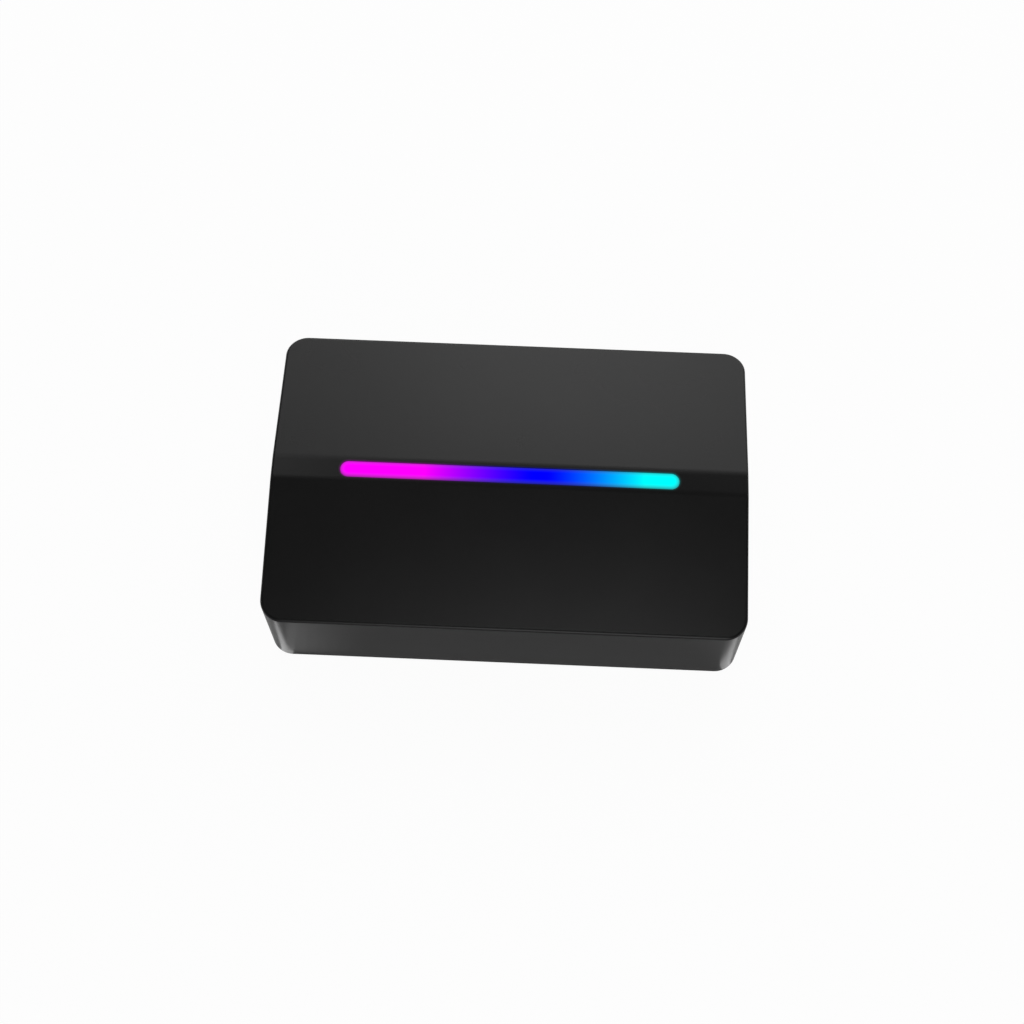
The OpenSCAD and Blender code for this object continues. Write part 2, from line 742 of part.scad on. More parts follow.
// Low rib that centres the cover between the walls, left open at the bosses and the socket panel
module locating_rib(inset) {
    opening = notch_half + panel_lap + locate_gap;
    difference() {
        translate([0, 0, cover_z])
            rounded_plate(case_w - 2 * inset, case_d - 2 * inset, corner_r - wall_t, cover_t + locate_h);
        translate([0, 0, cover_top])
            block(case_w - 2 * (inset + rib_t), case_d - 2 * (inset + rib_t), locate_h + cut);
        at_bosses() translate([0, 0, cover_top]) cylinder(r = pad_r + locate_gap, h = locate_h + cut);
        translate([-opening, boss_y, cover_top]) cube([2 * opening, half_d, locate_h + cut]);
    }
}

// Two stops on the cover that hold the socket panel against the rear wall from inside
module panel_stops() {
    stop_w = panel_half / 3;
    for (side = [-1, 1])
        translate([side * panel_half / 2, panel_back - panel_gap - rib_t / 2, cover_z])
            block(stop_w, rib_t, board_z - board_boss_gap - cover_z);
}

// Socket panel: a plate in the wall's opening and a flange behind the wall that stands on the cover
module rear_panel() {
    through = panel_back - cut;
    color([0.07, 0.07, 0.075]) difference() {
        union() {
            along_y(plate_back, panel_face) panel_profile(panel_half, panel_top, panel_r);
            intersection() {
                along_y(panel_back, plate_back)
                    panel_profile(panel_half + panel_lap, panel_top + panel_lap, panel_r);
                translate([0, 0, cover_top]) block(case_w, case_d, ridge_z);
            }
        }
        for (x = [video_in_x, video_out_x])
            translate([x, 0, board_top]) along_y(through, half_d) video_profile(socket_gap);
        translate([usb_x, 0, usb_z]) along_y(through, half_d) usb_profile(socket_gap);
        for (x = [mic_x, phone_x])
            translate([x, 0, jack_z]) rod_y(jack_w / 2 + socket_gap, through, half_d);
        translate([button_x, 0, button_z]) rod_y(button_d / 2 + button_gap, through, half_d);
    }
}

module rubber_feet() {
    color([0.1, 0.1, 0.1]) at_feet() {
        cylinder(d1 = foot_d - 2 * foot_bevel, d2 = foot_d, h = foot_bevel);
        translate([0, 0, foot_bevel]) cylinder(d = foot_d, h = cover_z + foot_recess - foot_bevel);
    }
}

module case_screws() {
    color([0.25, 0.25, 0.26]) at_bosses() translate([0, 0, head_top])
        screw(case_screw_d, case_screw_l, case_head_d, case_head_h);
}

module main_board() {
    color([0.02, 0.16, 0.09]) difference() {
        translate([-board_half, board_front, board_z])
            cube([2 * board_half, board_rear - board_front, board_t]);
        at_bosses() translate([0, 0, board_z - cut])
            cylinder(r = boss_r + board_boss_gap, h = board_t + 2 * cut);
        at_board_screws() translate([0, 0, board_z - cut])
            cylinder(d = board_screw_d + 2 * pass_gap, h = board_t + 2 * cut);
    }
}

module board_screws() {
    color([0.7, 0.7, 0.68]) at_board_screws() translate([0, 0, board_top]) mirror([0, 0, 1])
        screw(board_screw_d, board_screw_l, board_head_d, board_head_h);
}

// Outline of a video socket: wide above, with slanted lower corners, standing on z = 0
module video_profile(grow) {
    half = video_w / 2 + grow;
    foot = half - video_slant_w;
    polygon([[-foot, -grow], [foot, -grow], [half, video_slant_h - grow], [half, video_h + grow],
        [-half, video_h + grow], [-half, video_slant_h - grow]]);
}

module video_shell(x) {
    color([0.75, 0.75, 0.76]) translate([x, 0, board_top]) difference() {
        along_y(mouth_y - video_d, mouth_y) video_profile(0);
        along_y(mouth_y - video_d - cut, mouth_y + cut) video_profile(-video_sheet);
    }
}

module video_insulator(x) {
    back = mouth_y - video_d;
    color([0.04, 0.04, 0.04]) {
        translate([x, 0, board_top]) along_y(back, back + insulator_d)
            video_profile(-video_sheet - insulator_gap);
        translate([x, (back + mouth_y - tongue_recess) / 2, tongue_z - tongue_t / 2])
            block(tongue_w, video_d - tongue_recess, tongue_t);
    }
}

module video_in_shell() { video_shell(video_in_x); }
module video_out_shell() { video_shell(video_out_x); }
module video_in_insulator() { video_insulator(video_in_x); }
module video_out_insulator() { video_insulator(video_out_x); }

// Row of contact strips on both faces of a tongue
module contact_rows(x, z, thick, counts, pitch, strip_w, y0, y1) {
    for (face = [0, 1], k = [0:counts[face] - 1])
        translate([x + (k - (counts[face] - 1) / 2) * pitch, (y0 + y1) / 2,
            face == 0 ? z + thick / 2 : z - thick / 2 - strip_t])
            block(strip_w, y1 - y0, strip_t);
}

module video_contacts() {
    back = mouth_y - video_d + insulator_d;
    color([0.85, 0.68, 0.3]) for (x = [video_in_x, video_out_x])
        contact_rows(x, tongue_z, tongue_t, [10, 9], video_contact_pitch, video_strip_w, back,
            mouth_y - tongue_recess - strip_end);
}

module usb_profile(grow) {
    round_r = usb_h / 2 + grow;
    reach = usb_w / 2 - usb_h / 2;
    square([2 * reach, 2 * round_r], center = true);
    for (side = [-1, 1]) translate([side * reach, 0]) circle(round_r);
}

module usb_shell() {
    color([0.75, 0.75, 0.76]) translate([usb_x, 0, usb_z]) difference() {
        along_y(mouth_y - usb_d, mouth_y) usb_profile(0);
        along_y(mouth_y - usb_d - cut, mouth_y + cut) usb_profile(-usb_sheet);
    }
}

module usb_insulator() {
    back = mouth_y - usb_d;
    color([0.04, 0.04, 0.04]) {
        translate([usb_x, 0, usb_z]) along_y(back, back + usb_back_d)
            usb_profile(-usb_sheet - insulator_gap);
        translate([usb_x, (back + mouth_y - usb_tongue_recess) / 2, usb_z - usb_tongue_t / 2])
            block(usb_tongue_w, usb_d - usb_tongue_recess, usb_tongue_t);
    }
}

module usb_contacts() {
    color([0.85, 0.68, 0.3])
        contact_rows(usb_x, usb_z, usb_tongue_t, [12, 12], usb_contact_pitch, usb_strip_w,
            mouth_y - usb_d + usb_back_d, mouth_y - usb_tongue_recess - strip_end);
}

// Audio jack: a block on the board with a round nose through the panel
module audio_jack(x) {
    color([0.05, 0.05, 0.05]) translate([x, 0, 0]) difference() {
        union() {
            translate([0, board_rear - jack_d / 2, board_top]) block(jack_w, jack_d, jack_w);
            translate([0, 0, jack_z]) rod_y(jack_w / 2, board_rear - cut, mouth_y);
        }
        translate([0, 0, jack_z]) rod_y(jack_bore / 2, mouth_y - jack_bore_l, mouth_y + cut);
        translate([0, mouth_y - jack_lead_in, jack_z]) rotate([-90, 0, 0])
            cylinder(r1 = jack_bore / 2, r2 = jack_bore / 2 + 2 * jack_lead_in, h = 2 * jack_lead_in);
    }
}

module microphone_jack() { audio_jack(mic_x); }
module headphone_jack() { audio_jack(phone_x); }

// Solder tags that stand against the sides of the jacks and on the board
module jack_tags() {
    color([0.8, 0.8, 0.78]) for (x = [mic_x, phone_x], side = [-1, 1], k = [0, 1])
        translate([x + side * (jack_w + tag_t) / 2, board_rear - tag_first - k * tag_pitch, board_top])
            block(tag_t, tag_w, tag_h);
}

module mode_button() {
    color([0.07, 0.07, 0.07]) translate([button_x, 0, button_z]) {
        rod_y(button_d / 2 + button_collar, collar_back, collar_front);
        rod_y(button_d / 2, collar_back, button_front - button_bevel);
        translate([0, button_front - button_bevel, 0]) rotate([-90, 0, 0])
            cylinder(r1 = button_d / 2, r2 = button_d / 2 - button_bevel, h = button_bevel);
    }
}

module switch_plunger() {
    color([0.8, 0.8, 0.75]) translate([button_x, 0, button_z])
        rod_y(plunger_d / 2, switch_front - plunger_in, collar_back);
}

module switch_body() {
    hole_end = switch_front - plunger_in - button_travel - plunger_room;
    color([0.1, 0.1, 0.1]) difference() {
        translate([button_x, switch_back + switch_d / 2, board_top])
            block(switch_w, switch_d, switch_h);
        translate([button_x, 0, button_z])
            rod_y(plunger_d / 2 + plunger_gap, hole_end, switch_front + cut);
    }
}

// Flat chip on the main board, given as x, y, width, depth, with its first corner marked
module chip(place, h) {
    mark_r = min(place[2], place[3]) * 0.07;
    color([0.08, 0.08, 0.08]) translate([place.x, place.y, board_top]) difference() {
        block(place[2], place[3], h);
        translate([place[2] * 0.36, -place[3] * 0.36, h - mark_depth]) cylinder(r = mark_r, h = cut);
    }
}

module video_processor() { chip(processor, processor_h); }

module thermal_pad() {
    color([0.6, 0.65, 0.75]) translate([processor.x, processor.y, board_top + processor_h])
        block(processor_side, processor_side, pad_sheet);
}

module heat_sink() {
    base_z = board_top + processor_h + pad_sheet;
    pitch = (sink_side - sink_fin_t) / (sink_fins - 1);
    color([0.72, 0.73, 0.75]) translate([processor.x, processor.y, base_z]) {
        block(sink_side, sink_side, sink_base);
        for (k = [0:sink_fins - 1])
            translate([(k - (sink_fins - 1) / 2) * pitch, 0, sink_base])
                block(sink_fin_t, sink_side, sink_fin_h);
    }
}

module receiver_chip() { chip(receiver, chip_h); }
module transmitter_chip() { chip(transmitter, chip_h); }
module bridge_chip() { chip(bridge, chip_h); }
module codec_chip() { chip(codec, chip_h); }
module flash_chip() { chip(small_chips[2], chip_h); }
module memory_chips() { for (place = memories) chip(place, chip_h); }
module voltage_regulators() { for (k = [0, 1]) chip(small_chips[k], chip_h); }

// Leads along the four sides of the flat-pack chips
module chip_leads() {
    color([0.8, 0.8, 0.78]) for (place = [receiver, transmitter, bridge]) {
        count = floor((place[2] - lead_step) / lead_step);
        translate([place.x, place.y, board_top]) for (turn = [0:90:270], k = [0:count - 1])
            rotate(turn) translate([(k - (count - 1) / 2) * lead_step, (place[3] + lead_l) / 2, 0])
                block(lead_w, lead_l, lead_t);
    }
}

// Three places in a row from the front, beside the heat sink
module at_power_row(x, size) {
    for (k = [-1:1]) translate([x, front_row_y + k * (size + part_gap), board_top]) children();
}

module power_inductors() {
    color([0.25, 0.25, 0.26]) at_power_row(coil_x, coil_side) difference() {
        block(coil_side, coil_side, coil_h);
        translate([0, 0, coil_h - mark_depth]) cylinder(d = coil_side * 0.6, h = cut);
    }
}

module can_capacitors() {
    color([0.8, 0.8, 0.82]) at_power_row(can_x, can_d) {
        block(can_d, can_d, can_base);
        translate([0, 0, can_base]) cylinder(d = can_d, h = can_h - can_base);
    }
}

module crystals() {
    color([0.8, 0.8, 0.8]) for (place = [receiver, codec])
        translate([place.x - (place[2] + crystal_w) / 2 - lead_l - part_gap, place.y, board_top])
            block(crystal_w, crystal_d, crystal_h);
}

// A row of small parts in front of each chip of the rear row, set gap away from it
module small_rows(size, gap, spare) {
    step = size.x + small_gap;
    for (place = [receiver, transmitter, bridge, codec]) {
        count = floor(place[2] / step) - spare;
        for (k = [0:count - 1])
            translate([place.x + (k - (count - 1) / 2) * step,
                place.y - place[3] / 2 - lead_l - gap - size.y / 2, board_top])
                block(size.x, size.y, size.z);
    }
}

module chip_capacitors() { color([0.6, 0.48, 0.32]) small_rows(small_cap, small_gap, 0); }

module chip_resistors() {
    color([0.12, 0.12, 0.12]) small_rows(small_res, 2 * small_gap + small_cap.y, 1);
}

module led_board() {
    color([0.9, 0.9, 0.88]) difference() {
        translate([0, 0, led_z]) block(channel_l, channel_w, led_board_t);
        for (side = [-1, 1]) translate([side * led_screw_x, 0, led_z - cut])
            cylinder(d = led_screw_d + 2 * pass_gap, h = led_board_t + 2 * cut);
    }
}

// Lamps under the light bar, each a white block with a round dish
module rgb_leds() {
    color([0.95, 0.95, 0.9]) for (k = [0:led_count - 1])
        translate([(k - (led_count - 1) / 2) * led_pitch, 0, led_top]) difference() {
            block(led_side, led_side, led_h);
            translate([0, 0, led_h - mark_depth]) cylinder(d = led_side * 0.8, h = cut);
        }
}

module led_board_screws() {
    color([0.7, 0.7, 0.68]) for (side = [-1, 1]) translate([side * led_screw_x, 0, led_z])
        screw(led_screw_d, led_screw_l, led_head_d, led_head_h);
}

// Cable socket standing on z = 0, its mouth towards the front at y = 0
module cable_socket() {
    slot_w = cable_w + 2 * cable_gap;
    slot_h = cable_t + 2 * cable_gap;
    difference() {
        translate([0, cable_socket_d / 2, 0]) block(cable_socket_l, cable_socket_d, cable_socket_h);
        translate([0, (cable_in + cable_gap - cut) / 2, (cable_socket_h - slot_h) / 2])
            block(slot_w, cable_in + cable_gap + cut, slot_h);
    }
}

module board_cable_socket() {
    color([0.9, 0.88, 0.8]) translate([-cable_x, cable_mouth_y, board_top]) cable_socket();
}

module led_cable_socket() {
    color([0.9, 0.88, 0.8]) translate([-cable_x, cable_mouth_y, led_z]) mirror([0, 0, 1])
        cable_socket();
}

// Flat cable: out of the lower socket, round a half turn and back into the upper one
module flat_cable() {
    low = board_top + cable_socket_h / 2;
    high = led_z - cable_socket_h / 2;
    turn_r = (high - low) / 2;
    turn_y = cable_mouth_y - cable_run;
    color([0.92, 0.92, 0.9]) translate([-cable_x - cable_w / 2, 0, 0]) rotate([90, 0, 90])
        linear_extrude(cable_w) {
            for (z = [low, high])
                translate([turn_y, z - cable_t / 2]) square([cable_run + cable_in, cable_t]);
            difference() {
                translate([turn_y, (low + high) / 2]) circle(turn_r + cable_t / 2);
                translate([turn_y, (low + high) / 2]) circle(turn_r - cable_t / 2);
                translate([turn_y, low - cut]) square([2 * turn_r, high - low + 2 * cut]);
            }
        }
}

top_shell();
light_bar();
bottom_cover();
rear_panel();
rubber_feet();
case_screws();
main_board();
board_screws();
video_in_shell();
video_in_insulator();
video_out_shell();
video_out_insulator();
video_contacts();
usb_shell();
usb_insulator();
usb_contacts();
microphone_jack();
headphone_jack();
jack_tags();
mode_button();
switch_plunger();
switch_body();
video_processor();
thermal_pad();
heat_sink();
receiver_chip();
transmitter_chip();
bridge_chip();
codec_chip();
memory_chips();
flash_chip();
chip_leads();
power_inductors();
can_capacitors();
voltage_regulators();
crystals();
chip_capacitors();
chip_resistors();
led_board();
rgb_leds();
led_board_screws();
board_cable_socket();
led_cable_socket();
flat_cable();
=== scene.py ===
import json
import math

import bpy
from mathutils import Euler, Matrix, Vector


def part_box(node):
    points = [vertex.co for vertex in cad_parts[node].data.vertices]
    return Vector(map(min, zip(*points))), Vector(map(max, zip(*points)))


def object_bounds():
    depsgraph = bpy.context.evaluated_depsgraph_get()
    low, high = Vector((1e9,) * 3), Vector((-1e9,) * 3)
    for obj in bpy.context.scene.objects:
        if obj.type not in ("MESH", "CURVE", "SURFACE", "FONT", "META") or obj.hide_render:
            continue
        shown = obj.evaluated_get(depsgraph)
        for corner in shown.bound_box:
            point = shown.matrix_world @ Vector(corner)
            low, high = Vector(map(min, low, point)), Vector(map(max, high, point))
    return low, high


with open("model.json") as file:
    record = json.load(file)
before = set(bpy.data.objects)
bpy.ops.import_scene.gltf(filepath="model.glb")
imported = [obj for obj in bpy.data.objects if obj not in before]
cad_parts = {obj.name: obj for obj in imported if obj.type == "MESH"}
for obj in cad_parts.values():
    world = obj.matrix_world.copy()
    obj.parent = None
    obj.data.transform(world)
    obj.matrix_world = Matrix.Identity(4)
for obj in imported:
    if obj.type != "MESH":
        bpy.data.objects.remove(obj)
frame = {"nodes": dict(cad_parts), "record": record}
cad_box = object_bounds()

MM = 0.001

# Half the size of the whole object, in metres.
CASE_HALF = (cad_box[1] - cad_box[0]) / 2

# The camera, as it stood for the photograph: place in metres, angles in degrees, lens and sensor in
# millimetres, and the nearest distance that it sees, in metres.
CAMERA_AT = Vector((0.00581, -0.14463, 0.34888))
CAMERA_TILT = 22.919
CAMERA_ROLL = 0.378
CAMERA_TURN = 2.082
CAMERA_LENS = 59.405
CAMERA_SENSOR = 36.0
CAMERA_CLIP = 0.01

# Share of the floor's white that doesn't depend on the lamps, in what the camera sees.
FLOOR_WHITE = 0.96

# The same share in reflections, close to the case and away from it, and the two distances in metres. The
# low share close to the case paints shade round the case into what reflections show of the floor.
FLOOR_WHITE_CLOSE = 0.045
FLOOR_WHITE_AWAY = 0.8
FLOOR_CLOSE = 0.03
FLOOR_AWAY = 0.15
FLOOR_COLOUR = (0.95, 0.95, 0.95, 1.0)

# Floor, in metres: half its side, the height of the backdrop round it, how far inside the case's outline
# the opening under it lies, which lets the lamp below light the underside, and a drop that clears the feet.
FLOOR_HALF = 6.0
BACKDROP_H = 3.0
OPENING_INSET = 0.002
FLOOR_DROP = 0.02 * MM

# Plain light of the room, and the white that the camera sees beyond the floor.
ROOM_LIGHT = 0.1
ROOM_WHITE = 0.95

# Soft boxes: degrees from straight up, degrees round from the back, width and height in metres, radiance.
# Each one stands a metre from the case and faces it.
BOX_AIM = Vector((0.0, 0.0, 0.02))
SOFT_BOXES = {
    "back_box": (56, 10, 1.3, 0.6, 2.22),
    "back_small_box": (46, 2, 0.25, 0.26, 1.4),
    "back_fade_box": (36, 4, 0.8, 0.105, 1.5),
    "back_end_box": (30, 4, 0.8, 0.105, 0.5),
    "top_box": (5, 165, 0.3, 0.2, 3.4),
    "left_box": (30, -32, 0.2, 0.2, 2.25),
    "front_box": (62, 175, 0.4, 0.5, 3.0),
    "front_high_box": (38, 172, 0.4, 0.35, 1.2),
    "under_box": (165, 0, 0.8, 0.8, 6.0),
}

# Reflectors by the front corners: middle and size in millimetres, turn in degrees, radiance. All
# reflectors lie this many millimetres above the feet's level.
REFLECTOR_LIFT = 0.3
REFLECTORS = {
    "left_corner_reflector": (-50.3, -35.0, 10.0, 2.8, 29, 1.48),
    "right_corner_reflector": (52.2, -33.6, 9.5, 4.0, -6, 0.98),
}

# Reflector before the left part of the front wall, in strips that grow brighter towards the corner: their
# count, then their sizes and places in millimetres, the most radiance and how fast it grows.
WALL_STRIPS = 8
WALL_STRIP_W = 2.3
WALL_STRIP_D = 8.0
WALL_STRIPS_START = -29.0
WALL_STRIPS_Y = -38.0
WALL_STRIP_BRIGHTEST = 0.43
WALL_STRIP_POWER = 1.6

# Light bar, in millimetres: the flange under the roof, which its box takes in, and the part that shows.
BAR_FLANGE = 1.6
BAR_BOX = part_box("light_bar")
BAR_L = (BAR_BOX[1].x - BAR_BOX[0].x) / MM - 2 * BAR_FLANGE
BAR_W = (BAR_BOX[1].y - BAR_BOX[0].y) / MM - 2 * BAR_FLANGE

# The bar's rim: how far in it reaches in millimetres, how fast it sets in, how much it dims, and how much
# white is mixed into its glow there as a painted highlight.
BAR_RIM = 1.1
BAR_RIM_POWER = 2.0
BAR_RIM_DIM = 0.62
BAR_RIM_PAINTED_HIGHLIGHT = 0.04

# The bar's colours, by millimetres from its middle: magenta up to the first place, blue from the second
# to the third, cyan from the fourth on, and how the lamps' mixing bends in between.
BAR_MAGENTA_END = -18.0
BAR_BLUE_START = 5.9
BAR_BLUE_END = 6.8
BAR_CYAN_START = 28.3
BAR_MIX_POWER = 2.55

# The bar's frosted resin: the share of black in its own colour, grain and depth in millimetres, roughness.
FROST_BLACK = 0.95
FROST_GRAIN = 0.15
FROST_DEPTH = 0.004
FROST_ROUGH = (0.5, 0.65)

# The bar's light painted on the case around it, as a glow of the case plastic itself: its strength at the
# bar's outline, its reach in millimetres and how fast it fades.
PAINTED_SPILL = 0.1
PAINTED_SPILL_REACH = 0.7
PAINTED_SPILL_FADE = 3.0

# Noise lies mostly between these two values.
NOISE_LOW = 0.3
NOISE_HIGH = 0.7

# A cloud in moulded plastic is as wide as this many grains.
CLOUD_GRAINS = 60

# Metal: the size of its clouds in millimetres, and how far its roughness goes down and up.
METAL_CLOUD = 4.0
METAL_SMOOTHER = 0.06
METAL_ROUGHER = 0.08

# Circuit boards: the size of a patch of tracks in millimetres, the scale of the track waves, the part of a
# wave that is a track's edge, the share of patches whose tracks run along y, the tracks' height and the
# pitch of the holes in millimetres, and the reach of a hole's ring as a share of the pitch.
BOARD_ROUGH = 0.35
TRACK_PATCH = 9.0
TRACK_WAVES = 0.45
TRACK_EDGE = (0.55, 0.75)
TRACK_SPLIT = 0.5
TRACK_H = 0.03
HOLE_PITCH = 3.2
HOLE_RING = 0.12

# Flat cable: the scale of the wire waves, the part of a wave that is a wire's edge, the wires' height in
# millimetres.
FILM_ROUGH = 0.3
WIRE_WAVES = 0.6
WIRE_EDGE = (0.4, 0.6)
WIRE_H = 0.02

# Edges that turn more than this are kept sharp, and points closer than this, in metres, are joined.
SMOOTH_ANGLE = math.radians(32)
WELD_GAP = 0.001 * MM


def grey(value):
    """A neutral linear colour."""
    return (value, value, value, 1.0)


class Shading:
    """A tree of shader nodes."""

    def __init__(self, tree):
        self.tree = tree

    def node(self, kind, inputs=None, **settings):
        """A shader node with its settings, plain values and links."""
        made = self.tree.nodes.new("ShaderNode" + kind)
        for name, value in settings.items():
            setattr(made, name, value)
        for name, value in (inputs or {}).items():
            if isinstance(value, bpy.types.NodeSocket):
                self.tree.links.new(value, made.inputs[name])
            else:
                made.inputs[name].default_value = value
        return made

    def maths(self, operation, *values):
        """A Math node's result."""
        return self.node("Math", dict(enumerate(values)), operation=operation).outputs[0]

    def vectors(self, operation, *values, result="Vector"):
        """A Vector Math node's result."""
        return self.node("VectorMath", dict(enumerate(values)), operation=operation).outputs[result]


class Finish(Shading):
    """A procedural material: a Principled shader and the nodes that feed it, measured in millimetres."""

    def __init__(self, name, edge=0.0, **plain):
        self.material = bpy.data.materials.new(name)
        self.material.use_nodes = True
        super().__init__(self.material.node_tree)
        self.shader = self.tree.nodes["Principled BSDF"]
        self.normal = None
        for socket, value in plain.items():
            self.shader.inputs[socket.replace("_", " ")].default_value = value
        metres = self.node("TexCoord").outputs["Object"]
        self.place = self.node("VectorMath", {0: metres, "Scale": 1 / MM}, operation="SCALE").outputs[0]
        if edge:
            self.face(self.node("Bevel", {"Radius": edge * MM}).outputs["Normal"])

    def drive(self, socket, value):
        """Links a value to one of the shader's sockets."""
        self.tree.links.new(value, self.shader.inputs[socket])

    def face(self, normal):
        """Takes a normal for the shader and for the next bump."""
        self.normal = normal
        self.drive("Normal", normal)

    def axis(self, name):
        """One coordinate of the row frame, in millimetres."""
        return self.node("SeparateXYZ", {0: self.place}).outputs[name]

    def noise(self, size, detail=2.0, stretch=(1, 1, 1)):
        """Noise from 0 to 1 with grains of this size, drawn out along the axes."""
        place = self.vectors("MULTIPLY", self.place, [1 / s for s in stretch])
        inputs = {"Vector": place, "Scale": 1 / size, "Detail": detail}
        return self.node("TexNoise", inputs).outputs["Fac"]

    def cells(self, size, result, distance="EUCLIDEAN"):
        """A value of irregular cells of this size."""
        inputs = {"Vector": self.place, "Scale": 1 / size}
        return self.node("TexVoronoi", inputs, distance=distance).outputs[result]

    def bands(self, scale, direction, edge):
        """Bands across one axis, from 0 to 1, with their edges in this part of a wave."""
        inputs = {"Vector": self.place, "Scale": scale}
        wave = self.node("TexWave", inputs, bands_direction=direction).outputs["Fac"]
        return self.spread(wave, 0.0, 1.0, *edge)

    def spread(self, value, low, high, start=NOISE_LOW, end=NOISE_HIGH):
        """A value spread from one range over another."""
        inputs = {"Value": value, "From Min": start, "From Max": end, "To Min": low, "To Max": high}
        return self.node("MapRange", inputs).outputs["Result"]

    def mixed(self, share, first, second):
        """A colour between two colours."""
        return self.node("Mix", {0: share, 6: first, 7: second}, data_type="RGBA").outputs[2]

    def bump(self, height, depth):
        """Raises the surface by a height from 0 to 1, whose 1 is this many millimetres."""
        inputs = {"Height": height, "Distance": depth * MM}
        if self.normal:
            inputs["Normal"] = self.normal
        self.face(self.node("Bump", inputs).outputs["Normal"])


def moulded(name, dark, light, rough, grain, depth, shine=0.5, edge=0.0, uneven=0.04):
    """Moulded plastic: a spark-eroded grain, slow clouding of the colour and uneven gloss."""
    finish = Finish(name, edge, Specular_IOR_Level=shine)
    fine = finish.noise(grain)
    cloud = finish.noise(CLOUD_GRAINS * grain, detail=1.0)
    finish.drive("Base Color", finish.mixed(finish.spread(cloud, 0.0, 1.0), dark, light))
    finish.drive("Roughness", finish.spread(fine, rough - uneven, rough + uneven))
    finish.bump(fine, depth)
    return finish


def metal(name, dark, light, rough, stretch, grain=0.12, depth=0.0007, edge=0.05):
    """Rolled or drawn metal, brushed along one axis."""
    finish = Finish(name, edge, Metallic=1.0)
    brushed = finish.noise(grain, detail=3.0, stretch=stretch)
    cloud = finish.noise(METAL_CLOUD)
    finish.drive("Base Color", finish.mixed(finish.spread(cloud, 0.0, 1.0), dark, light))
    finish.drive("Roughness", finish.spread(brushed, rough - METAL_SMOOTHER, rough + METAL_ROUGHER))
    finish.bump(brushed, depth)
    return finish


def laminate(name, mask, track, pad):
    """Circuit board: solder mask over tracks that run along x or y by patches, with tinned holes."""
    finish = Finish(name, Roughness=BOARD_ROUGH)
    patch = finish.cells(TRACK_PATCH, "Color", distance="CHEBYCHEV")
    turn = finish.node("SeparateColor", {0: patch}).outputs[0]
    runs = [finish.bands(TRACK_WAVES, direction, TRACK_EDGE) for direction in ("X", "Y")]
    across = finish.maths("GREATER_THAN", turn, TRACK_SPLIT)
    tracks = finish.node("Mix", {0: across, 2: runs[0], 3: runs[1]}).outputs[0]
    ring = finish.maths("LESS_THAN", finish.cells(HOLE_PITCH, "Distance"), HOLE_RING)
    masked = finish.mixed(tracks, mask, track)
    finish.drive("Base Color", finish.mixed(ring, masked, pad))
    finish.bump(tracks, TRACK_H)
    return finish


def bar_colour(finish):
    """The colour of the bar's light along the bar."""
    along = finish.axis("X")
    red = finish.spread(along, 1.0, 0.0, start=BAR_MAGENTA_END, end=BAR_BLUE_START)
    green = finish.spread(along, 0.0, 1.0, start=BAR_BLUE_END, end=BAR_CYAN_START)
    shares = {
        "Red": finish.maths("POWER", red, BAR_MIX_POWER),
        "Green": finish.maths("POWER", green, BAR_MIX_POWER),
        "Blue": 1.0,
    }
    return finish.node("CombineColor", shares).outputs["Color"]


def past_bar(finish):
    """Millimetres from the bar's outline, below zero on the bar itself."""
    from_middle = finish.maths("ABSOLUTE", finish.axis("X"))
    past_end = finish.maths("SUBTRACT", from_middle, (BAR_L - BAR_W) / 2)
    from_spine = {"X": finish.maths("MAXIMUM", past_end, 0.0), "Y": finish.axis("Y")}
    flat = finish.node("CombineXYZ", from_spine).outputs[0]
    away = finish.vectors("LENGTH", flat, result="Value")
    return finish.maths("SUBTRACT", away, BAR_W / 2)


def light_diffuser(name):
    """The lit bar: frosted resin that glows from magenta through blue to cyan and dims at its rim, where
    white mixed into the glow paints a highlight.
    """
    finish = Finish(name, Specular_IOR_Level=0.0)
    glow = bar_colour(finish)
    near_rim = finish.spread(past_bar(finish), 0.0, 1.0, start=-BAR_RIM, end=0.0)
    rim = finish.maths("POWER", near_rim, BAR_RIM_POWER)
    # Painted highlight: white mixed into the glow towards the rim.
    pale = finish.maths("MULTIPLY", rim, BAR_RIM_PAINTED_HIGHLIGHT)
    finish.drive("Emission Color", finish.mixed(pale, glow, grey(1.0)))
    finish.drive("Emission Strength", finish.spread(rim, 1.0, 1.0 - BAR_RIM_DIM, start=0.0, end=1.0))
    finish.drive("Base Color", finish.mixed(FROST_BLACK, glow, grey(0.0)))
    frost = finish.noise(FROST_GRAIN)
    finish.drive("Roughness", finish.spread(frost, *FROST_ROUGH))
    finish.bump(frost, FROST_DEPTH)
    return finish


def case_with_painted_spill(name, **values):
    """The case's plastic, with the bar's light painted on it around the bar as a faint glow in the bar's
    colours.
    """
    finish = moulded(name, **values)
    near = finish.spread(past_bar(finish), 1.0, 0.0, start=0.0, end=PAINTED_SPILL_REACH)
    faded = finish.maths("POWER", near, PAINTED_SPILL_FADE)
    # Painted light: the case itself glows in the bar's colours near the bar.
    finish.drive("Emission Color", bar_colour(finish))
    finish.drive("Emission Strength", finish.maths("MULTIPLY", faded, PAINTED_SPILL))
    return finish


def ribbon_film(name, film, wire):
    """Flat cable: pale film over bright conductors that run along it."""
    finish = Finish(name, Roughness=FILM_ROUGH)
    wires = finish.bands(WIRE_WAVES, "X", WIRE_EDGE)
    finish.drive("Base Color", finish.mixed(wires, film, wire))
    finish.bump(wires, WIRE_H)
    return finish


